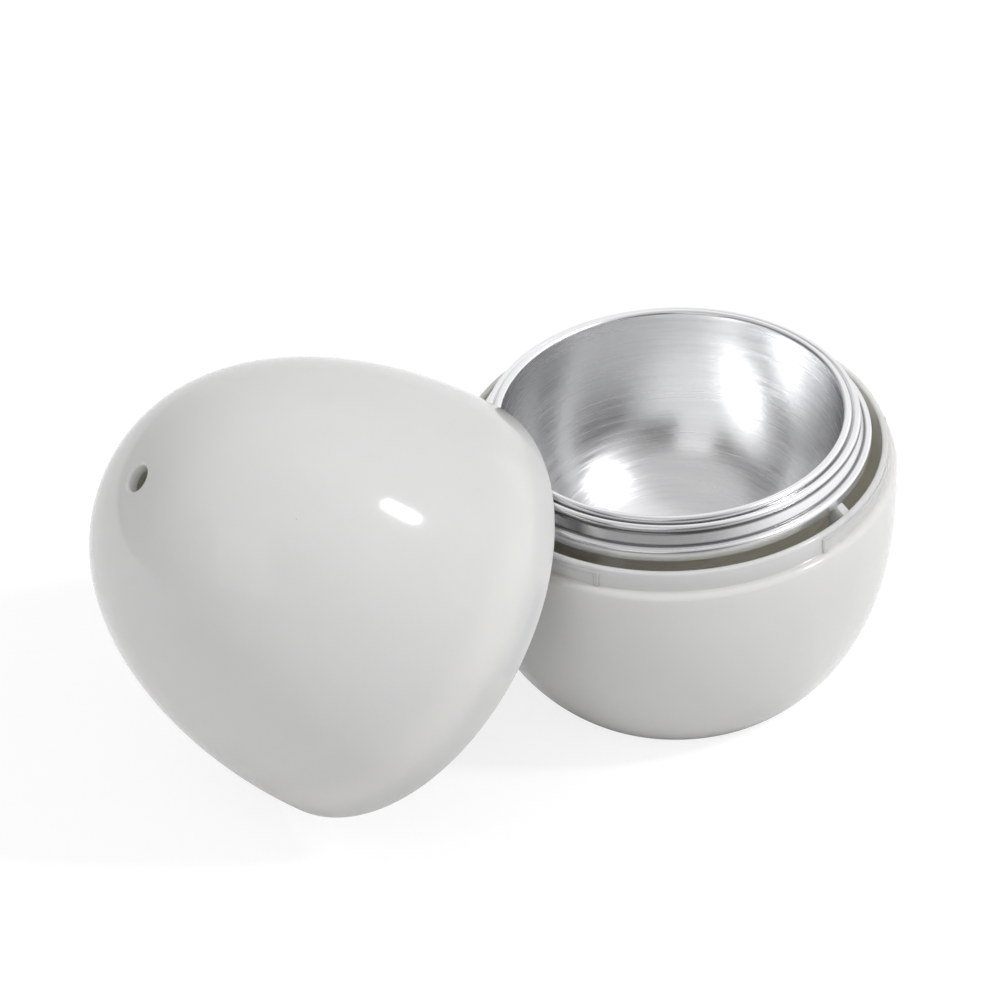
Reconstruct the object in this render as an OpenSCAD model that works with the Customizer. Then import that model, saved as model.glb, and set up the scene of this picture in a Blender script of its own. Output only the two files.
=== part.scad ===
// Microwave egg cooker: an egg-shaped pot in two halves, with the lid taken off
// and leaning on the rim of the pot.
// Sizes are in millimetres. +Z is up, and the origin is the centre of the pot's flat base.

/* [Egg shape] */
// Widest outside diameter, shared by both halves
egg_d = 70; // [66:0.5:76]
// Height of the widest ring above the table
bowl_h = 36; // [33:0.5:42]
// Diameter of the flat base
base_d = 47.5; // [40:0.5:52]
// Roundness of the lower half: 2 is an ellipse, more is fuller
bowl_fullness = 2.45; // [2.1:0.05:2.7]
// Height of the lid, rim to tip
lid_h = 53; // [49:0.5:60]
// How long the lid keeps its width before it tapers: 2 is an ellipse, less tapers sooner
lid_taper = 1.9; // [1.6:0.05:2.2]
// Roundness of the lid's tip: 2 is an ellipse, more is blunter
lid_bluntness = 2.35; // [2.1:0.05:2.7]

/* [Plastic walls] */
// Wall of both plastic halves
shell_t = 2; // [1.6:0.1:2.2]
// Wall of the lid where its lip slides over the collar
lip_t = 0.85; // [0.75:0.05:1]
// Diameter of the steam vent in the lid's tip
vent_d = 4.2; // [3:0.1:6]
// Rounding of the vent's outer edge
vent_round = 0.5; // [0.3:0.05:0.8]

/* [Shoulder and collar] */
// Rise from the widest ring to the shoulder that the lid closes on
shoulder_rise = 2; // [1.4:0.1:3]
// Rounding of the shoulder's outer edge
shoulder_round = 0.9; // [0.6:0.05:0.95]
// Height of the collar above the shoulder
collar_h = 3.4; // [3:0.1:4.5]
// Wall of the collar
collar_t = 1; // [0.9:0.05:1.3]
// Clearance all round between the catches and what they slide past
lid_fit = 0.15; // [0.1:0.05:0.2]

/* [Catches] */
// Number of catches round the collar, and of hooks in the lid
catch_count = 3; // [2:1:4]
// Direction of the middle of the first catch
catch_turn = -23; // [-60:1:60]
// Arc that each catch covers
catch_arc = 57; // [40:1:70]
// How far a catch's end stops stand out of the collar
stop_proud = 0.35; // [0.3:0.05:0.45]
// Width of an end stop
stop_w = 0.9; // [0.6:0.1:1.4]
// Drop from the collar's top to the end stops and the ridge
catch_drop = 0.7; // [0.5:0.1:1]
// How far the ridge between two end stops stands out of the collar
ridge_proud = 0.3; // [0.25:0.05:0.3]
// Height of that ridge
ridge_h = 0.7; // [0.5:0.1:0.9]
// Arc that each of the lid's hooks covers
hook_arc = 24; // [12:1:36]

/* [Insert cup] */
// Gap all round between the collar and the insert's flange
flange_gap = 1.6; // [1.2:0.05:1.9]
// Width of the insert's rim, mouth to outer edge
rim_w = 4.35; // [4.25:0.05:5]
// Height of the rim above the ledges it rests on
rim_h = 5.7; // [5.2:0.1:6.6]
// Height of the flange at the foot of the rim
flange_h = 1.9; // [1.5:0.1:2.2]
// Width of the rolled bead round the mouth
bead_w = 1.25; // [1.1:0.05:1.35]
// Depth of the insert below the top of its bead
cup_depth = 31; // [26:0.5:36]
// Roundness of the insert's bottom: 2 is an ellipse, more is fuller
cup_fullness = 2.3; // [2:0.05:2.6]
// Thickness of the metal sheet
sheet_t = 0.7; // [0.55:0.05:0.8]

/* [Ledges for the insert] */
// Number of ledges inside the collar
ledge_count = 3; // [3:1:6]
// Direction of the first ledge
ledge_turn = -40.5; // [-90:0.5:90]
// Height of the ledges above the collar's top
ledge_rise = 0.3; // [0.2:0.1:0.8]
// Width of a ledge
ledge_w = 1.5; // [1.2:0.1:2.5]
// Length of a ledge down the wall
ledge_drop = 12; // [8:0.5:16]
// How far a ledge reaches under the flange
ledge_reach = 1.2; // [0.8:0.1:1.5]
// Height of the tooth that centres the flange
tooth_h = 0.6; // [0.4:0.1:1]

/* [Lid liner] */
// Clearance between the liner's mouth and the bead that it closes over
liner_fit = 0.4; // [0.2:0.05:0.6]
// Space between the liner and the lid at the tip
liner_tip_gap = 3; // [2:0.1:4]
// Clearance round the liner's flange
flange_fit = 0.3; // [0.2:0.05:0.5]
// Diameter of the steam hole in the liner
liner_vent_d = 3; // [2:0.1:5]
// Number of webs that the liner's flange lies against
web_count = 6; // [3:1:8]
// Thickness of a web
web_t = 1.2; // [0.8:0.1:1.6]
// Length of a web along the lid
web_l = 9; // [6:0.5:12]
// Arc that each snap tab under the liner's flange covers
tab_arc = 14; // [8:1:24]
// Height of a snap tab
tab_h = 1.2; // [0.8:0.1:1.6]
// Clearance between the liner's flange and the webs and tabs that hold it
liner_play = 0.15; // [0.1:0.05:0.25]

/* [Leaning lid] */
// Direction in which the lid lies from the pot
lid_turn = -161; // [-180:1:180]
// How far the lid's rim rises above the middle of the bead that it leans on
lid_overreach = 2.84; // [1.5:0.02:4]
// Clearance between the lid's lip and that bead
lean_gap = 0.45; // [0.15:0.05:0.6]

/* [Hidden] */
$fn = 128;
plastic = [0.87, 0.87, 0.85];
aluminium = [0.76, 0.77, 0.79];
// Flats along one long curve, and along one small arc
curve_n = 26;
arc_n = 6;
// How far a rib or tab sinks into the wall that it grows from
root = 0.4;

// Pot
egg_r = egg_d / 2;
base_r = base_d / 2;
base_a = curve_angle(base_r / egg_r, bowl_fullness);
bowl_deep = bowl_h / pow(sin(base_a), 2 / bowl_fullness);
shoulder_z = bowl_h + shoulder_rise;
collar_r = egg_r - lip_t - stop_proud - lid_fit;
collar_in_r = collar_r - collar_t;
collar_top = shoulder_z + collar_h;
bore_a = curve_angle(collar_in_r / (egg_r - shell_t), bowl_fullness);
floor_a = asin(pow((bowl_h - shell_t) / (bowl_deep - shell_t), bowl_fullness / 2));
catch_top = collar_top - catch_drop;
ridge_z = catch_top - ridge_h;

// Insert: its flange stands on the ledges
seat_z = collar_top + ledge_rise;
flange_r = collar_in_r - flange_gap;
mouth_r = flange_r - rim_w;
bead_r = bead_w / 2;
bead_c = mouth_r + bead_r;
bead_z = seat_z + rim_h - bead_r;
// A low ridge outside the bead, and under it the steep band that leans out to the flange
bump_r = 0.6;
bump_c = [bead_c + bead_r + 0.8, bead_z - 0.6];
crease = [bump_c[0] + 0.5, bump_c[1] - 0.4];
band_top = [bump_c[0] + 0.65, crease[1] - 0.2];
band_foot = [band_top[0] + 0.45, seat_z + flange_h + 0.1];
flange_round = 0.6;

// Lid: the rim is at z = 0 and the tip at z = lid_h until it is laid down
lip_r = lip_t / 2;
socket_r = egg_r - lip_t;
socket_h = collar_h + 0.3;
lid_in_r = egg_r - shell_t;
lid_in_h = lid_h - shell_t;
vent_r = vent_d / 2;
hook_top = ridge_z - shoulder_z - lid_fit;
// Liner: closed, its mouth stands just clear of the insert's low ridge
liner_z = bump_c[1] + bump_r - shoulder_z + liner_play;
liner_mouth_r = bead_c + bead_r + liner_fit;
liner_h = lid_in_h - liner_tip_gap - sheet_t - liner_z;
liner_flange_r = lid_in_radius(liner_z + sheet_t) - flange_fit;

// Leaning lid: it stands on its lip and leans on the bead. The lip and the bead are round
// in section, so the distance between their middle circles sets how close the lid comes.
lip_c = egg_r - lip_r;
lean = acos((bead_z + lid_overreach - lip_r) / (2 * lip_c));
lid_z = lip_c * cos(lean) + lip_r * (1 - sin(lean));
meet_a = acos(1 - lid_overreach / (lip_c * cos(lean)));
meet_x = sqrt(pow(bead_c, 2) - pow(lip_c * sin(meet_a), 2));
cross_x = meet_x - lip_r * cos(lean) + lip_c * cos(meet_a) * sin(lean);
lid_x = rest_x(cross_x, cross_x + 4 * (lip_t + bead_w), 16);

// Angle along a rounded curve at which it has narrowed to the given share of its radius
function curve_angle(share, bluntness) = acos(pow(share, bluntness / 2));

// Points [radius, height] of a rounded curve between two angles: 0 is its wide end, 90 its tip
function curve(r, h, taper, bluntness, from, to) =
    [for (i = [0:curve_n])
        let (a = from + (to - from) * i / curve_n)
        [r * pow(cos(a), 2 / bluntness), h * pow(sin(a), 2 / taper)]];

// The same curve hung below a height
function hung(top, points) = [for (p = points) [p[0], top - p[1]]];

function arc(middle, r, from, to) =
    [for (i = [0:arc_n])
        let (a = from + (to - from) * i / arc_n)
        middle + r * [cos(a), sin(a)]];

function lid_in_radius(z) = lid_in_r * pow(1 - pow(z / lid_in_h, lid_taper), 1 / lid_bluntness);

// Angle of a lid curve of the given height at height z
function lid_angle(z, h) = asin(pow(z / h, lid_taper / 2));

// Distance between the lip's middle circle and the bead's, with the lid x away from the pot
function lip_to_bead(x) = min(
    [for (a = [0:meet_a * 2])
        let (px = x + lip_r * cos(lean) - lip_c * cos(a) * sin(lean),
             py = lip_c * sin(a),
             pz = lip_r + lip_c * cos(lean) * (1 + cos(a)))
        norm([norm([px, py]) - bead_c, pz - bead_z])]);

// Nearest distance at which the lid keeps its clearance, found by halving
function rest_x(near, far, steps) =
    let (middle = (near + far) / 2)
    steps == 0 ? far
    : lip_to_bead(middle) > lip_r + bead_r + lean_gap ? rest_x(near, middle, steps - 1)
    : rest_x(middle, far, steps - 1);

// A block of a ring: its outline in radius and height, swept over an arc about a direction
module ring_block(direction, sweep, inner, outer, low, high)
    rotate([0, 0, direction - sweep / 2])
        rotate_extrude(angle = sweep)
            translate([inner, low]) square([outer - inner, high - low]);

// A flat web that stands out along a direction, drawn in radius and height
module web(direction, thickness, outline)
    rotate([0, 0, direction]) rotate([90, 0, 0])
        linear_extrude(thickness, center = true) polygon(outline);

module pot_shell()
    rotate_extrude() polygon(concat(
        [[0, 0]],
        hung(bowl_h, curve(egg_r, bowl_deep, bowl_fullness, bowl_fullness, base_a, 0)),
        arc([egg_r - shoulder_round, shoulder_z - shoulder_round], shoulder_round, 0, 90),
        [[collar_r, shoulder_z]],
        arc([collar_r - collar_t / 2, collar_top - collar_t / 2], collar_t / 2, 0, 180),
        hung(bowl_h, curve(egg_r - shell_t, bowl_deep - shell_t,
                           bowl_fullness, bowl_fullness, bore_a, floor_a)),
        [[0, shell_t]]));

// A low ridge between two upright end stops, which the lid's hook turns under
module catch(direction) {
    ring_block(direction, catch_arc, collar_r - root, collar_r + ridge_proud,
               ridge_z, ridge_z + ridge_h);
    stop_arc = stop_w / collar_r * 180 / PI;
    for (side = [-1, 1])
        ring_block(direction + side * catch_arc / 2, stop_arc, collar_r - root,
                   collar_r + stop_proud, shoulder_z - root, catch_top);
}

// A ledge under the insert's flange, with a tooth outside it that slopes down to the collar
module ledge(direction)
    web(direction, ledge_w, [
        [flange_r - ledge_reach, seat_z],
        [flange_r - ledge_reach, seat_z - ledge_drop / 2],
        [collar_in_r + root, seat_z - ledge_drop],
        [collar_in_r + collar_t / 2, collar_top - root],
        [flange_r + flange_fit, seat_z + tooth_h],
        [flange_r + flange_fit, seat_z]]);

module outer_cup()
    color(plastic) union() {
        pot_shell();
        for (i = [0:catch_count - 1]) catch(catch_turn + i * 360 / catch_count);
        for (i = [0:ledge_count - 1]) ledge(ledge_turn + i * 360 / ledge_count);
    }

module insert_cup() {
    wall_deep = cup_depth - bead_r;
    color(aluminium) rotate_extrude() polygon(concat(
        hung(bead_z, curve(mouth_r, wall_deep, cup_fullness, cup_fullness, 90, 0)),
        arc([bead_c, bead_z], bead_r, 180, -40),
        arc(bump_c, bump_r, 150, -25),
        [crease, band_top, band_foot],
        arc([flange_r - flange_round, seat_z + flange_h - flange_round], flange_round, 90, 0),
        [[flange_r, seat_z], [flange_r - sheet_t, seat_z],
         [flange_r - sheet_t, seat_z + flange_h - sheet_t],
         [band_foot[0] - sheet_t, seat_z + flange_h - sheet_t],
         [bump_c[0] + bump_r - sheet_t, bump_c[1] - sheet_t / 2],
         [mouth_r + sheet_t + bead_r / 2, bead_z - bead_r - sheet_t]],
        hung(bead_z - bead_r - 2 * sheet_t,
             curve(mouth_r + sheet_t, wall_deep - bead_r - sheet_t,
                   cup_fullness, cup_fullness, 0, 90))));
}

module lid_place()
    rotate([0, 0, lid_turn]) translate([lid_x, 0, lid_z]) rotate([0, 90 - lean, 0]) children();

module lid_dome() {
    tip_a = curve_angle((vent_r + vent_round) / egg_r, lid_bluntness);
    vent_a = curve_angle(vent_r / lid_in_r, lid_bluntness);
    tip_z = lid_h * pow(sin(tip_a), 2 / lid_taper);
    rotate_extrude() polygon(concat(
        arc([lip_c, lip_r], lip_r, 180, 360),
        curve(egg_r, lid_h, lid_taper, lid_bluntness, lid_angle(2 * lip_r, lid_h), tip_a),
        arc([vent_r + vent_round, tip_z - vent_round], vent_round, 90, 180),
        curve(lid_in_r, lid_in_h, lid_taper, lid_bluntness,
              vent_a, lid_angle(socket_h, lid_in_h)),
        [[socket_r, socket_h]]));
}

// A web above the liner's flange, sloping out to the wall of the lid
module liner_web(direction)
    web(direction, web_t, [
        [liner_mouth_r + 2 * sheet_t, liner_z + sheet_t + liner_play],
        [lid_in_radius(liner_z + sheet_t) + root, liner_z + sheet_t + liner_play],
        [lid_in_radius(liner_z + web_l) + root, liner_z + web_l],
        [liner_mouth_r + 2 * sheet_t, liner_z + web_l / 3]]);

module lid_shell()
    color(plastic) lid_place() union() {
        lid_dome();
        for (i = [0:catch_count - 1])
            ring_block(i * 360 / catch_count, hook_arc,
                       collar_r + lid_fit, socket_r + root, lip_r, hook_top);
        for (i = [0:web_count - 1]) liner_web(i * 360 / web_count);
        for (i = [0:catch_count - 1])
            ring_block((i + 0.5) * 360 / catch_count, tab_arc, liner_flange_r - tab_h,
                       lid_in_radius(liner_z) + root, liner_z - liner_play - tab_h,
                       liner_z - liner_play);
    }

module lid_liner() {
    hole_r = liner_vent_d / 2;
    outer_r = liner_mouth_r + sheet_t;
    color(aluminium) lid_place() rotate_extrude() polygon(concat(
        [[liner_flange_r, liner_z], [liner_flange_r, liner_z + sheet_t]],
        [for (p = curve(outer_r, liner_h, lid_taper, lid_bluntness,
                        0, curve_angle(hole_r / outer_r, lid_bluntness)))
            [p[0], p[1] + liner_z + sheet_t]],
        [for (p = curve(liner_mouth_r, liner_h, lid_taper, lid_bluntness,
                        curve_angle(hole_r / liner_mouth_r, lid_bluntness), 0))
            [p[0], p[1] + liner_z]]));
}

outer_cup();
insert_cup();
lid_shell();
lid_liner();
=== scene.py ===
"""Looks of the microwave egg cooker: its pieces, materials, studio and camera.

Sizes are in millimetres and match the part's source; build() turns them into metres.
"""

import math

import bmesh
import bpy
import numpy as np
from mathutils import Matrix, Vector


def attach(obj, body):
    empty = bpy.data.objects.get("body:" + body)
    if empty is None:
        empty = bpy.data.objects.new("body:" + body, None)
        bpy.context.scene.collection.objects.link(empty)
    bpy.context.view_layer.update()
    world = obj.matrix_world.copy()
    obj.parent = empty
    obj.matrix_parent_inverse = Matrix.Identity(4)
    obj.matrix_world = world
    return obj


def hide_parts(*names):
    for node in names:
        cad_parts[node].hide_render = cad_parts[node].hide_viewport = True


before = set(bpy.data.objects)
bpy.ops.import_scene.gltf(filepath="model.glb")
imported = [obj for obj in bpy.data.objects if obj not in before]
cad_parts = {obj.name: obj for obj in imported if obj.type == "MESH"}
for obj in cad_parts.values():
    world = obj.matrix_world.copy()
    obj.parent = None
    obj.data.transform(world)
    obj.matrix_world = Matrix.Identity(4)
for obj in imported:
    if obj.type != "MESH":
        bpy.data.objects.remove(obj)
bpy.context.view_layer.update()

MM = 0.001
TURNS = 288       # steps round each turned piece
TINY = 1e-6

# The part's sizes
EGG_R, BOWL_H, BASE_R, BOWL_FULL = 35.0, 36.0, 23.75, 2.45
LID_H, LID_TAPER, LID_BLUNT = 53.0, 1.9, 2.35
SHELL_T, LIP_T, VENT_R, VENT_ROUND = 2.0, 0.85, 2.1, 0.5
SHOULDER_RISE, SHOULDER_ROUND, COLLAR_H, COLLAR_T, LID_FIT = 2.0, 0.9, 3.4, 1.0, 0.15
CATCHES, CATCH_TURN, CATCH_ARC, HOOK_ARC = 3, -23.0, 57.0, 24.0
STOP_PROUD, STOP_W, CATCH_DROP, RIDGE_PROUD, RIDGE_H = 0.35, 0.9, 0.7, 0.3, 0.7
FLANGE_GAP, RIM_W, RIM_H, FLANGE_H, BEAD_W = 1.6, 4.35, 5.7, 1.9, 1.25
CUP_DEPTH, CUP_FULL, SHEET_T = 31.0, 2.3, 0.7
LEDGES, LEDGE_TURN, LEDGE_RISE, LEDGE_W = 3, -40.5, 0.3, 1.5
LEDGE_DROP, LEDGE_REACH, TOOTH_H = 12.0, 1.2, 0.6
LINER_FIT, LINER_GAP, FLANGE_FIT, LINER_VENT_R = 0.4, 3.0, 0.3, 1.5
WEBS, WEB_T, WEB_L, TAB_ARC, TAB_H, LINER_PLAY = 6, 1.2, 9.0, 14.0, 1.2, 0.15
LID_TURN, OVERREACH, LEAN_GAP, ROOT = -161.0, 2.84, 0.45, 0.4

BASE_A = math.acos((BASE_R / EGG_R) ** (BOWL_FULL / 2))
BOWL_DEEP = BOWL_H / math.sin(BASE_A) ** (2 / BOWL_FULL)
SHOULDER_Z = BOWL_H + SHOULDER_RISE
COLLAR_R = EGG_R - LIP_T - STOP_PROUD - LID_FIT
COLLAR_IN = COLLAR_R - COLLAR_T
COLLAR_TOP = SHOULDER_Z + COLLAR_H
CATCH_TOP = COLLAR_TOP - CATCH_DROP
RIDGE_Z = CATCH_TOP - RIDGE_H
SEAT_Z = COLLAR_TOP + LEDGE_RISE
FLANGE_R = COLLAR_IN - FLANGE_GAP
MOUTH_R = FLANGE_R - RIM_W
BEAD_R = BEAD_W / 2
BEAD_C = MOUTH_R + BEAD_R
BEAD_Z = SEAT_Z + RIM_H - BEAD_R
BUMP_R = 0.6
BUMP = (BEAD_C + BEAD_R + 0.8, BEAD_Z - 0.6)
CREASE = (BUMP[0] + 0.5, BUMP[1] - 0.4)
BAND_TOP = (BUMP[0] + 0.65, CREASE[1] - 0.2)
BAND_FOOT = (BAND_TOP[0] + 0.45, SEAT_Z + FLANGE_H + 0.1)
COLLAR_ROUND, COLLAR_FOOT_ROUND, BASE_ROUND, BASE_KNEE = 0.4, 0.25, 0.6, (0.15, 0.1)
LIP_R = LIP_T / 2
LIP_C = EGG_R - LIP_R
SOCKET_R = EGG_R - LIP_T
SOCKET_H = COLLAR_H + 0.3
LID_IN_R, LID_IN_H = EGG_R - SHELL_T, LID_H - SHELL_T
HOOK_TOP = RIDGE_Z - SHOULDER_Z - LID_FIT
LINER_Z = BUMP[1] + BUMP_R - SHOULDER_Z + LINER_PLAY
LINER_R = BEAD_C + BEAD_R + LINER_FIT
LINER_H = LID_IN_H - LINER_GAP - SHEET_T - LINER_Z


def lid_in_radius(z):
    return LID_IN_R * (1 - (z / LID_IN_H) ** LID_TAPER) ** (1 / LID_BLUNT)


LINER_FLANGE_R = lid_in_radius(LINER_Z + SHEET_T) - FLANGE_FIT

# Where the leaning lid comes to rest: its lip is LEAN_GAP clear of the bead
LEAN = math.acos((BEAD_Z + OVERREACH - LIP_R) / (2 * LIP_C))
LID_Z = LIP_C * math.cos(LEAN) + LIP_R * (1 - math.sin(LEAN))


def resting_x():
    a = np.radians(np.linspace(-75, 75, 3001))
    near, far = 30.0, 62.0
    for _ in range(40):
        x = (near + far) / 2
        px = x + LIP_R * math.cos(LEAN) - LIP_C * np.cos(a) * math.sin(LEAN)
        py = LIP_C * np.sin(a)
        pz = LIP_R + LIP_C * math.cos(LEAN) * (1 + np.cos(a))
        gap = np.hypot(np.hypot(px, py) - BEAD_C, pz - BEAD_Z).min() - LIP_R - BEAD_R
        near, far = (near, x) if gap > LEAN_GAP else (x, far)
    return far


LID_PLACE = (Matrix.Rotation(math.radians(LID_TURN), 4, "Z")
             @ Matrix.Translation(Vector((resting_x(), 0, LID_Z)) * MM)
             @ Matrix.Rotation(math.pi / 2 - LEAN, 4, "Y"))


# Profiles are closed loops of (radius, height, fillet) in millimetres
def angle_at(share, bluntness):
    return math.acos(share ** (bluntness / 2))


def egg(r, h, taper, bluntness, start, end, n=120):
    """Points of an egg-shaped curve: angle 0 is its wide end, and a quarter turn its tip."""
    points = []
    for i in range(n + 1):
        a = start + (end - start) * i / n
        points.append((r * max(math.cos(a), 0) ** (2 / bluntness),
                       h * max(math.sin(a), 0) ** (2 / taper), 0))
    return points


def hung(top, points):
    return [(r, top - z, f) for r, z, f in points]


def raised(low, points):
    return [(r, low + z, f) for r, z, f in points]


def filleted(point, fillet):
    return point[0], point[1], fillet


def arc(middle, r, start, end, n=14):
    angles = [math.radians(start + (end - start) * i / n) for i in range(n + 1)]
    return [(middle[0] + r * math.cos(a), middle[1] + r * math.sin(a), 0) for a in angles]


def fillets(profile, n=5):
    """The same loop with each corner that states a fillet turned into an arc."""
    out = []
    for i, (r, z, f) in enumerate(profile):
        p = np.array((r, z))
        if f <= 0:
            out.append(p)
            continue
        a = np.array(profile[i - 1][:2]) - p
        b = np.array(profile[(i + 1) % len(profile)][:2]) - p
        la, lb = np.linalg.norm(a), np.linalg.norm(b)
        a, b = a / la, b / lb
        half = math.acos(max(-1.0, min(1.0, float(a @ b)))) / 2
        if half > math.radians(88):
            out.append(p)
            continue
        t = min(f / math.tan(half), 0.45 * la, 0.45 * lb)
        f = t * math.tan(half)
        middle = p + (a + b) / np.linalg.norm(a + b) * f / math.sin(half)
        v0, v1 = p + a * t - middle, p + b * t - middle
        turn = math.atan2(v0[0] * v1[1] - v0[1] * v1[0], float(v0 @ v1))
        for k in range(n + 1):
            c, s = math.cos(turn * k / n), math.sin(turn * k / n)
            out.append(middle + np.array((c * v0[0] - s * v0[1], s * v0[0] + c * v0[1])))
    return out


def build(name, verts, faces, normals=None, place=None):
    """A mesh object from points in millimetres, laid in its place."""
    place = place or Matrix.Identity(4)
    turn = np.array(place.to_3x3())
    mesh = bpy.data.meshes.new(name)
    points = np.array(verts) * MM @ turn.T + np.array(place.translation)
    mesh.from_pydata(points.tolist(), [], faces)
    mesh.update()
    obj = bpy.data.objects.new(name, mesh)
    bpy.context.scene.collection.objects.link(obj)
    mesh.shade_smooth()
    if normals is not None:
        mesh.normals_split_custom_set_from_vertices((np.array(normals) @ turn.T).tolist())
    return obj


def lathe(name, profile, place=None):
    """A closed profile turned about Z. Its normals keep long faces flat and fillets round."""
    kept = []
    for q in fillets(profile):
        if not kept or np.linalg.norm(q - kept[-1]) > 1e-4:
            kept.append(q)
    if np.linalg.norm(kept[0] - kept[-1]) < 1e-4:
        kept.pop()
    p = np.array(kept)
    nxt = np.roll(p, -1, 0)
    area = float(np.sum(p[:, 0] * nxt[:, 1] - nxt[:, 0] * p[:, 1]))
    if area < 0:
        p = p[::-1]
        nxt = np.roll(p, -1, 0)
    seg = nxt - p
    on_axis = (p[:, 0] < TINY) & (nxt[:, 0] < TINY)
    length = np.where(on_axis, 0, np.linalg.norm(seg, axis=1))
    # Each corner's normal is the mean of its two faces', weighted by their lengths
    across = np.c_[seg[:, 1], -seg[:, 0]]
    across = across / np.maximum(np.linalg.norm(across, axis=1), 1e-9)[:, None] * length[:, None]
    n2 = across + np.roll(across, 1, 0)
    n2 = n2 / np.maximum(np.linalg.norm(n2, axis=1), 1e-9)[:, None]
    verts, normals, rings = [], [], []
    for (r, z), (nr, nz) in zip(p, n2):
        if r < TINY:
            rings.append([len(verts)] * TURNS)
            verts.append((0, 0, z))
            normals.append((0, 0, 1 if nz > 0 else -1))
            continue
        rings.append(list(range(len(verts), len(verts) + TURNS)))
        for k in range(TURNS):
            a = 2 * math.pi * k / TURNS
            c, s = math.cos(a), math.sin(a)
            verts.append((r * c, r * s, z))
            normals.append((nr * c, nr * s, nz))
    faces = []
    for i in range(len(rings)):
        if on_axis[i]:
            continue
        a, b = rings[i], rings[(i + 1) % len(rings)]
        for k in range(TURNS):
            m = (k + 1) % TURNS
            quad = [a[k], a[m], b[m], b[k]]
            face = [v for j, v in enumerate(quad) if v not in quad[:j]]
            if len(face) > 2:
                faces.append(face)
    return build(name, verts, faces, normals, place)


def soften(obj, width):
    """Rounds the edges of a rib or block."""
    bevel = obj.modifiers.new("edges", "BEVEL")
    bevel.width, bevel.segments, bevel.limit_method = width * MM, 3, "ANGLE"
    bevel.angle_limit, bevel.harden_normals = math.radians(35), True
    return obj


def outline_block(name, outline, spread, steps, place, width):
    """A bar with its section given in radius and height.

    spread(t) gives the section's angle and sideways shift at each t from 0 to 1.
    """
    verts, faces, n = [], [], len(outline)
    for i in range(steps + 1):
        angle, sideways = spread(i / steps)
        c, s = math.cos(angle), math.sin(angle)
        verts += [(r * c - sideways * s, r * s + sideways * c, z) for r, z in outline]
    for i in range(steps):
        for j in range(n):
            k = (j + 1) % n
            faces.append((i * n + j, i * n + k, (i + 1) * n + k, (i + 1) * n + j))
    faces += [tuple(range(n))[::-1], tuple(steps * n + j for j in range(n))]
    obj = build(name, verts, faces, place=place)
    mesh = bmesh.new()
    mesh.from_mesh(obj.data)
    bmesh.ops.recalc_face_normals(mesh, faces=mesh.faces)
    mesh.to_mesh(obj.data)
    mesh.free()
    obj.data.shade_smooth()
    return soften(obj, width)


def ring_block(name, direction, sweep, inner, outer, low, high, place=None, width=0.15):
    start, size = math.radians(direction - sweep / 2), math.radians(sweep)
    outline = [(inner, low), (outer, low), (outer, high), (inner, high)]
    return outline_block(name, outline, lambda t: (start + size * t, 0),
                         max(3, int(sweep / 1.5)), place, width)


def web(name, direction, thickness, outline, place=None, width=0.2):
    a = math.radians(direction)
    return outline_block(name, outline, lambda t: (a, (t - 0.5) * thickness), 1, place, width)


# Materials
def nodes_of(name):
    material = bpy.data.materials.new(name)
    material.use_nodes = True
    tree = material.node_tree
    return material, tree, tree.nodes["Principled BSDF"]


def add(tree, kind, inputs=(), **settings):
    node = tree.nodes.new(kind)
    for key, value in settings.items():
        setattr(node, key, value)
    for key, value in dict(inputs).items():
        if isinstance(value, bpy.types.NodeSocket):
            tree.links.new(value, node.inputs[key])
        else:
            node.inputs[key].default_value = value
    return node


def noise(tree, vector, scale, detail=2.0, rough=0.5):
    return add(tree, "ShaderNodeTexNoise",
               {"Vector": vector, "Scale": scale, "Detail": detail,
                "Roughness": rough}).outputs["Fac"]


def span(tree, value, low, high, start=0.0, end=1.0):
    """A value from start to end, mapped to low to high and held there."""
    return add(tree, "ShaderNodeMapRange",
               {"Value": value, "From Min": start, "From Max": end,
                "To Min": low, "To Max": high}).outputs["Result"]


def blend(tree, factor, a, b):
    node = add(tree, "ShaderNodeMix", data_type="RGBA")
    tree.links.new(factor, node.inputs[0])
    for socket, value in ((node.inputs[6], a), (node.inputs[7], b)):
        if isinstance(value, bpy.types.NodeSocket):
            tree.links.new(value, socket)
        else:
            socket.default_value = (*value, 1)
    return node.outputs[2]


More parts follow.
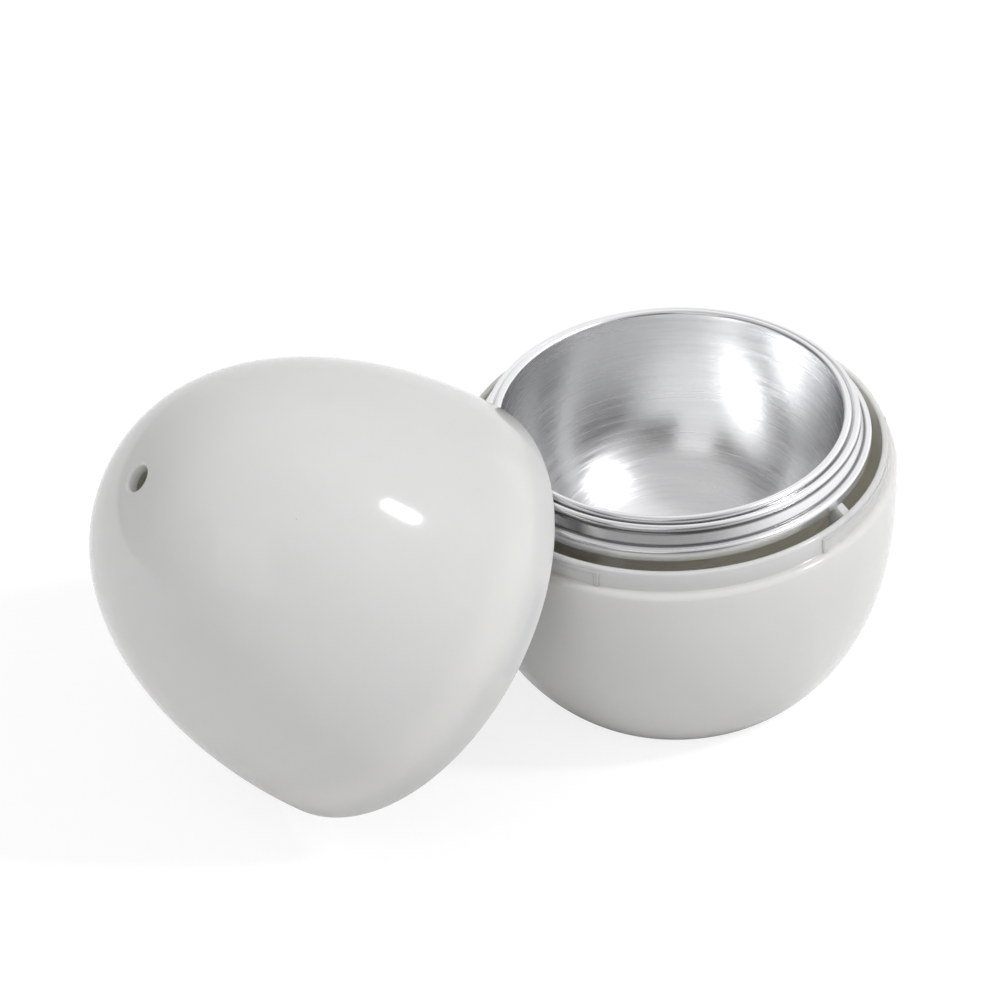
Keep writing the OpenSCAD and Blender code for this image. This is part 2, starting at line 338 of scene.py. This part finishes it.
def plastic():
    material, tree, shader = nodes_of("white_plastic")
    where = tree.nodes.new("ShaderNodeTexCoord").outputs["Object"]
    # The moulding's faint cloudiness
    cloud = span(tree, noise(tree, where, 55, 3), 0, 1, 0.3, 0.7)
    colour = blend(tree, cloud, (0.745, 0.735, 0.702), (0.768, 0.759, 0.726))
    # A rare dark speck moulded into the plastic
    cells = add(tree, "ShaderNodeTexVoronoi", {"Vector": where, "Scale": 42.0, "Randomness": 1.0})
    near = span(tree, cells.outputs["Distance"], 1, 0, 0.006, 0.011)
    rare = add(tree, "ShaderNodeMath", {0: cells.outputs["Color"], 1: 0.45}, operation="LESS_THAN")
    speck = add(tree, "ShaderNodeMath", {0: near, 1: rare.outputs[0]}, operation="MULTIPLY")
    colour = blend(tree, speck.outputs[0], colour, (0.25, 0.22, 0.2))
    tree.links.new(colour, shader.inputs["Base Color"])
    # Slight polish marks and a moulded skin
    smear = noise(tree, where, 130, 4, 0.6)
    tree.links.new(span(tree, smear, 0.07, 0.11, 0.3, 0.7), shader.inputs["Roughness"])
    skin = add(tree, "ShaderNodeBump", {"Height": noise(tree, where, 1400, 2), "Strength": 0.05,
                                        "Distance": 0.00005})
    wave = add(tree, "ShaderNodeBump", {"Height": noise(tree, where, 38, 1), "Strength": 0.25,
                                        "Distance": 0.0002, "Normal": skin.outputs["Normal"]})
    tree.links.new(wave.outputs["Normal"], shader.inputs["Normal"])
    shader.inputs["IOR"].default_value = 1.49
    shader.inputs["Subsurface Weight"].default_value = 0.5
    shader.inputs["Subsurface Radius"].default_value = (1.0, 0.92, 0.75)
    shader.inputs["Subsurface Scale"].default_value = 0.009
    return material


def aluminium(name, place=None, creases=()):
    """Spun sheet: turning lines run round the axis, and the creases get painted shade, a dark base
    colour near each.
    """
    material, tree, shader = nodes_of(name)
    where = tree.nodes.new("ShaderNodeTexCoord").outputs["Object"]
    if place is not None:
        where = add(tree, "ShaderNodeMapping", {"Vector": where, "Location": place.translation,
                                                "Rotation": place.to_euler()},
                    vector_type="TEXTURE").outputs[0]
    split = add(tree, "ShaderNodeSeparateXYZ", {"Vector": where})
    x, y, z = split.outputs
    flat = add(tree, "ShaderNodeCombineXYZ", {"X": x, "Y": y, "Z": 0.0})
    radius = add(tree, "ShaderNodeVectorMath", {0: flat.outputs[0]},
                 operation="LENGTH").outputs["Value"]
    round_ = add(tree, "ShaderNodeMath", {0: y, 1: x}, operation="ARCTAN2").outputs[0]

    def line(scale, along):
        turned = add(tree, "ShaderNodeMath", {0: round_, 1: along}, operation="MULTIPLY").outputs[0]
        at = add(tree, "ShaderNodeCombineXYZ", {"X": radius, "Y": z, "Z": turned}).outputs[0]
        return noise(tree, at, scale, 3, 0.65)

    fine, coarse = line(5200, 0.00035), line(900, 0.0012)
    both = add(tree, "ShaderNodeMath", {0: fine, 1: coarse}, operation="ADD").outputs[0]
    colour = blend(tree, span(tree, coarse, 0, 1, 0.3, 0.7),
                   (0.82, 0.825, 0.835), (0.89, 0.893, 0.9))
    section = add(tree, "ShaderNodeCombineXYZ", {"X": radius, "Y": z, "Z": 0.0}).outputs[0]
    # Painted shade: near each crease the base colour turns dark grey, standing in for the shade in
    # the rim's grooves
    for crease, width in creases:
        middle = (crease[0] * MM, crease[1] * MM, 0.0)
        away = add(tree, "ShaderNodeVectorMath", {0: section, 1: middle}, operation="DISTANCE")
        crease_shade = span(tree, away.outputs["Value"], 1, 0, 0.3 * width * MM, width * MM)
        colour = blend(tree, crease_shade, colour, (0.2, 0.2, 0.205))
    tree.links.new(colour, shader.inputs["Base Color"])
    tree.links.new(span(tree, both, 0.16, 0.3, 0.7, 1.3), shader.inputs["Roughness"])
    bump = add(tree, "ShaderNodeBump", {"Height": both, "Strength": 0.3, "Distance": 0.00002})
    dents = add(tree, "ShaderNodeBump", {"Height": noise(tree, where, 210, 2), "Strength": 0.3,
                                         "Distance": 0.00012, "Normal": bump.outputs["Normal"]})
    tree.links.new(dents.outputs["Normal"], shader.inputs["Normal"])
    shader.inputs["Metallic"].default_value = 1.0
    return material


PLASTIC = plastic()
# The creases of the insert's rim, each with the reach of its painted shade line
GROOVE = (BEAD_C + BEAD_R, BEAD_Z - BEAD_R)
CREASE_SHADES = ((GROOVE, 0.55), (CREASE, 0.5), (BAND_FOOT, 0.45))
ALUMINIUM = aluminium("spun_aluminium", creases=CREASE_SHADES)
LINER_METAL = aluminium("liner_aluminium", LID_PLACE)


def dress(obj, material, slot, *nodes):
    obj.data.materials.clear()
    obj.data.materials.append(material)
    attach(obj, "root")
    if nodes:
        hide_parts(*nodes)
    return obj


def white(obj, *nodes):
    return dress(obj, PLASTIC, "white_plastic", *nodes)


def metal(obj, material, *nodes):
    return dress(obj, material, "spun_aluminium", *nodes)


# Pot
bore_r, bore_deep = EGG_R - SHELL_T, BOWL_DEEP - SHELL_T
bore_a = angle_at(COLLAR_IN / bore_r, BOWL_FULL)
floor_a = math.asin(((BOWL_H - SHELL_T) / bore_deep) ** (BOWL_FULL / 2))
outside = hung(BOWL_H, egg(EGG_R, BOWL_DEEP, BOWL_FULL, BOWL_FULL, BASE_A, 0))
inside = hung(BOWL_H, egg(bore_r, bore_deep, BOWL_FULL, BOWL_FULL, bore_a, floor_a))
inside[0] = filleted(inside[0], 0.3)
base = [(0, 0, 0), (BASE_R - BASE_ROUND, 0, 0), (BASE_R - BASE_KNEE[0], BASE_KNEE[1], 0)]
white(lathe("pot_shell", base + outside[1:]
            + arc((EGG_R - SHOULDER_ROUND, SHOULDER_Z - SHOULDER_ROUND), SHOULDER_ROUND, 0, 90)
            + [(COLLAR_R, SHOULDER_Z, COLLAR_FOOT_ROUND)]
            + arc((COLLAR_R - COLLAR_ROUND, COLLAR_TOP - COLLAR_ROUND), COLLAR_ROUND, 0, 90)
            + arc((COLLAR_IN + COLLAR_ROUND, COLLAR_TOP - COLLAR_ROUND), COLLAR_ROUND, 90, 180)
            + inside + [(0, SHELL_T, 0)]), "outer_cup")
for i in range(CATCHES):
    middle = CATCH_TURN + i * 360 / CATCHES
    white(ring_block(f"catch_ridge_{i}", middle, CATCH_ARC, COLLAR_R - ROOT, COLLAR_R + RIDGE_PROUD,
                     RIDGE_Z, CATCH_TOP, width=0.22))
    for name, end in (("a", -1), ("b", 1)):
        white(ring_block(f"catch_stop_{i}{name}", middle + end * CATCH_ARC / 2,
                         math.degrees(STOP_W / COLLAR_R), COLLAR_R - ROOT, COLLAR_R + STOP_PROUD,
                         SHOULDER_Z - ROOT, CATCH_TOP, width=0.2))
for i in range(LEDGES):
    white(web(f"ledge_{i}", LEDGE_TURN + i * 360 / LEDGES, LEDGE_W, [
        (FLANGE_R - LEDGE_REACH, SEAT_Z),
        (FLANGE_R - LEDGE_REACH, SEAT_Z - LEDGE_DROP / 2),
        (COLLAR_IN + ROOT, SEAT_Z - LEDGE_DROP),
        (COLLAR_IN + COLLAR_T / 2, COLLAR_TOP - ROOT),
        (FLANGE_R + FLANGE_FIT, SEAT_Z + TOOTH_H),
        (FLANGE_R + FLANGE_FIT, SEAT_Z)], width=0.25))

# Insert
wall = CUP_DEPTH - BEAD_R
under = BEAD_Z - BEAD_R - 2 * SHEET_T
metal(lathe("insert", hung(BEAD_Z, egg(MOUTH_R, wall, CUP_FULL, CUP_FULL, math.pi / 2, 0))[:-1]
            + arc((BEAD_C, BEAD_Z), BEAD_R, 180, -40)
            + arc(BUMP, BUMP_R, 150, -25)
            + [(*CREASE, 0.12), (*BAND_TOP, 0.2), (*BAND_FOOT, 0.2),
               (FLANGE_R, SEAT_Z + FLANGE_H, 0.6), (FLANGE_R, SEAT_Z, 0.15),
               (FLANGE_R - SHEET_T, SEAT_Z, 0.15),
               (FLANGE_R - SHEET_T, SEAT_Z + FLANGE_H - SHEET_T, 0.1),
               (BAND_FOOT[0] - SHEET_T, SEAT_Z + FLANGE_H - SHEET_T, 0.3),
               (BUMP[0] + BUMP_R - SHEET_T, BUMP[1] - SHEET_T / 2, 0.2),
               (MOUTH_R + SHEET_T + BEAD_R / 2, BEAD_Z - BEAD_R - SHEET_T, 0.2)]
            + hung(under, egg(MOUTH_R + SHEET_T, wall - BEAD_R - SHEET_T, CUP_FULL, CUP_FULL,
                              0, math.pi / 2))), ALUMINIUM, "insert_cup")

# Lid
tip_a = angle_at((VENT_R + VENT_ROUND) / EGG_R, LID_BLUNT)
vent_a = angle_at(VENT_R / LID_IN_R, LID_BLUNT)
tip_z = LID_H * math.sin(tip_a) ** (2 / LID_TAPER)
low_a = math.asin((2 * LIP_R / LID_H) ** (LID_TAPER / 2))
step_a = math.asin((SOCKET_H / LID_IN_H) ** (LID_TAPER / 2))
hollow = egg(LID_IN_R, LID_IN_H, LID_TAPER, LID_BLUNT, vent_a, step_a)
hollow[0], hollow[-1] = filleted(hollow[0], 0.3), filleted(hollow[-1], 0.3)
white(lathe("lid_dome", arc((LIP_C, LIP_R), LIP_R, 180, 360)
            + egg(EGG_R, LID_H, LID_TAPER, LID_BLUNT, low_a, tip_a)
            + arc((VENT_R + VENT_ROUND, tip_z - VENT_ROUND), VENT_ROUND, 90, 180)
            + hollow + [(SOCKET_R, SOCKET_H, 0.2)], LID_PLACE), "lid_shell")
for i in range(CATCHES):
    white(ring_block(f"hook_{i}", i * 360 / CATCHES, HOOK_ARC, COLLAR_R + LID_FIT, SOCKET_R + ROOT,
                     LIP_R, HOOK_TOP, LID_PLACE))
    white(ring_block(f"tab_{i}", (i + 0.5) * 360 / CATCHES, TAB_ARC, LINER_FLANGE_R - TAB_H,
                     lid_in_radius(LINER_Z) + ROOT, LINER_Z - LINER_PLAY - TAB_H,
                     LINER_Z - LINER_PLAY, LID_PLACE))
above = LINER_Z + SHEET_T
for i in range(WEBS):
    white(web(f"liner_web_{i}", i * 360 / WEBS, WEB_T, [
        (LINER_R + 2 * SHEET_T, above + LINER_PLAY),
        (lid_in_radius(above) + ROOT, above + LINER_PLAY),
        (lid_in_radius(LINER_Z + WEB_L) + ROOT, LINER_Z + WEB_L),
        (LINER_R + 2 * SHEET_T, LINER_Z + WEB_L / 3)], LID_PLACE))

# Liner
outer_r = LINER_R + SHEET_T
skin_out = raised(above, egg(outer_r, LINER_H, LID_TAPER, LID_BLUNT, 0,
                             angle_at(LINER_VENT_R / outer_r, LID_BLUNT)))
skin_in = raised(LINER_Z, egg(LINER_R, LINER_H, LID_TAPER, LID_BLUNT,
                              angle_at(LINER_VENT_R / LINER_R, LID_BLUNT), 0))
skin_out[0], skin_in[-1] = filleted(skin_out[0], 0.4), filleted(skin_in[-1], 0.4)
skin_out[-1], skin_in[0] = filleted(skin_out[-1], 0.15), filleted(skin_in[0], 0.15)
metal(lathe("liner", [(LINER_FLANGE_R, LINER_Z, 0.2), (LINER_FLANGE_R, above, 0.2)]
            + skin_out + skin_in, LID_PLACE), LINER_METAL, "lid_liner")


# Studio
# What metal mirrors: a bright backdrop, a ceiling, and a ground that is dimmer on one side
BACKDROP = Vector((0.75, 0.65, 0.1)).normalized()
CAMERA_SIDE = Vector((-0.3, -0.95, 0)).normalized()
ROOM_DIM, CEILING, GROUND_DIM = 0.15, 0.6, 0.15
# What lights the object: an even room, and more from the front, the left and above
ROOM_LIGHT = 0.18
ROOM_SIDES = (((-0.2, -0.74, 0.64), 0.35), ((-0.98, 0.17, 0.09), 0.12), ((0, 0, 1), 0.42))


def looked_at(tree):
    """1 for rays from the camera and for what is mirrored or seen through clear parts."""
    path = tree.nodes.new("ShaderNodeLightPath").outputs
    mirrored = add(tree, "ShaderNodeMath", {0: path["Is Glossy Ray"], 1: path["Is Transmission Ray"]},
                   operation="MAXIMUM").outputs[0]
    return add(tree, "ShaderNodeMath", {0: path["Is Camera Ray"], 1: mirrored},
               operation="MAXIMUM").outputs[0]


def side(tree, vector, facing, *limits):
    """How far a vector faces a side, mapped by span()'s limits."""
    dot = add(tree, "ShaderNodeVectorMath", {0: vector, 1: facing}, operation="DOT_PRODUCT")
    return span(tree, dot.outputs["Value"], *limits)


def paper(name, colour, lift, shade):
    """A white matt ground. Where it's looked at, it glows by lift, and its shadows are faint."""
    material = bpy.data.materials.new(name)
    material.use_nodes = True
    tree = material.node_tree
    tree.nodes.clear()
    seen = looked_at(tree)
    where = tree.nodes.new("ShaderNodeTexCoord").outputs["Object"]
    grain = span(tree, noise(tree, where, 900, 2), 0.985, 1)
    matt = add(tree, "ShaderNodeMath", {0: span(tree, seen, colour, colour * shade), 1: grain},
               operation="MULTIPLY").outputs[0]
    matt = add(tree, "ShaderNodeBsdfDiffuse", {"Color": matt})
    # In mirrors the ground is dimmer on the camera's side, where the dark end of the room is
    away = add(tree, "ShaderNodeVectorMath", {0: where}, operation="NORMALIZE").outputs[0]
    dim = side(tree, away, CAMERA_SIDE, 1, GROUND_DIM, 0.3, 0.9)
    camera_ray = tree.nodes.new("ShaderNodeLightPath").outputs["Is Camera Ray"]
    dim = add(tree, "ShaderNodeMath", {0: camera_ray, 1: dim}, operation="MAXIMUM").outputs[0]
    glow = add(tree, "ShaderNodeMath", {0: span(tree, seen, 0, lift), 1: dim}, operation="MULTIPLY")
    glow = add(tree, "ShaderNodeEmission", {"Strength": glow.outputs[0]})
    both = add(tree, "ShaderNodeAddShader", {0: matt.outputs[0], 1: glow.outputs[0]})
    out = tree.nodes.new("ShaderNodeOutputMaterial")
    tree.links.new(both.outputs[0], out.inputs["Surface"])
    return material


bpy.ops.mesh.primitive_circle_add(vertices=96, radius=3.0, fill_type="NGON", location=(0, 0, 0))
floor = bpy.context.object
floor.name = "floor"
floor.data.materials.append(paper("floor_paper", 0.85, 0.8, 0.3))

world = bpy.data.worlds.new("studio")
bpy.context.scene.world = world
world.use_nodes = True
tree = world.node_tree
tree.nodes.clear()
# The backdrop stands behind and to the right, the ceiling is softer, and the rest is dim
out_of = tree.nodes.new("ShaderNodeTexCoord").outputs["Generated"]
backdrop = side(tree, out_of, BACKDROP, ROOM_DIM, 1.0, -0.35, 0.45)
ceiling = side(tree, out_of, (0, 0, 1), 0, CEILING, 0.5, 0.75)
mirrored = add(tree, "ShaderNodeMath", {0: backdrop, 1: ceiling}, operation="MAXIMUM").outputs[0]
path = tree.nodes.new("ShaderNodeLightPath").outputs
behind = add(tree, "ShaderNodeMath", {0: path["Is Camera Ray"], 1: mirrored},
             operation="MAXIMUM").outputs[0]
room = ROOM_LIGHT
for direction, strength in ROOM_SIDES:
    room = add(tree, "ShaderNodeMath", {0: side(tree, out_of, direction, 0, strength, 0.1, 0.95),
                                        1: room}, operation="ADD").outputs[0]
level = add(tree, "ShaderNodeMix", {0: looked_at(tree), 2: room, 3: behind}).outputs[0]
light = add(tree, "ShaderNodeBackground", {"Color": (1, 1, 1, 1), "Strength": level})
tree.links.new(light.outputs[0], tree.nodes.new("ShaderNodeOutputWorld").inputs["Surface"])

LOOK_AT = Vector((-0.024, -0.012, 0.030))


def lamp(name, place, size, power, target=LOOK_AT):
    light = bpy.data.lights.new(name, "AREA")
    light.shape = "RECTANGLE"
    light.size, light.size_y = size
    light.energy = power
    obj = bpy.data.objects.new(name, light)
    bpy.context.scene.collection.objects.link(obj)
    obj.location = place
    obj.rotation_euler = (target - place).to_track_quat("-Z", "Y").to_euler()


def towards(azimuth, elevation, distance, start=LOOK_AT):
    a, e = math.radians(azimuth), math.radians(elevation)
    return start + Vector((math.cos(e) * math.cos(a), math.cos(e) * math.sin(a),
                           math.sin(e))) * distance


GLINT = Vector((-0.042, -0.037, 0.059))
lamp("key", towards(-12.5, 40.5, 1.0, GLINT), (0.085, 0.15), 4.1, target=GLINT)
lamp("softbox", towards(-112.5, 28.4, 1.2), (0.62, 0.7), 0.9)
lamp("side", towards(20, 9, 1.3), (1.3, 0.35), 0.6)

# Camera: fitted to the photograph. U0 and V0 are where the middle of the collar's top shows
DISTANCE, PX_PER_MM, U0, V0 = 600.0, 6.376, 672.681, 440.366
FRAME, SENSOR = 1000, 36.0
ELEVATION, ROLL = math.radians(37.274), math.radians(-3.916)
FOCAL = PX_PER_MM * DISTANCE
up_seen = Vector((math.sin(ROLL) * math.cos(ELEVATION), -math.cos(ROLL) * math.cos(ELEVATION),
                  -math.sin(ELEVATION)))
x_seen = Vector((0, 0, 1)).cross(up_seen).normalized()
y_seen = up_seen.cross(x_seen)
right, down, forward = (Vector((x_seen[i], y_seen[i], up_seen[i])) for i in range(3))
ray = Vector(((U0 - FRAME / 2) / FOCAL, (V0 - FRAME / 2) / FOCAL, 1)).normalized()
eye = Vector((0, 0, COLLAR_TOP)) - (right * ray.x + down * ray.y + forward * ray.z) * DISTANCE
camera = bpy.data.objects.new("camera", bpy.data.cameras.new("camera"))
bpy.context.scene.collection.objects.link(camera)
camera.data.sensor_width = SENSOR
camera.data.lens = FOCAL * SENSOR / FRAME
camera.data.clip_start, camera.data.clip_end = 0.02, 20.0
camera.matrix_world = Matrix.Translation(eye * MM) @ Matrix((
    (right.x, -down.x, -forward.x), (right.y, -down.y, -forward.y),
    (right.z, -down.z, -forward.z))).to_4x4()
bpy.context.scene.camera = camera

bpy.context.scene.view_settings.view_transform = "Standard"
bpy.context.view_layer.update()
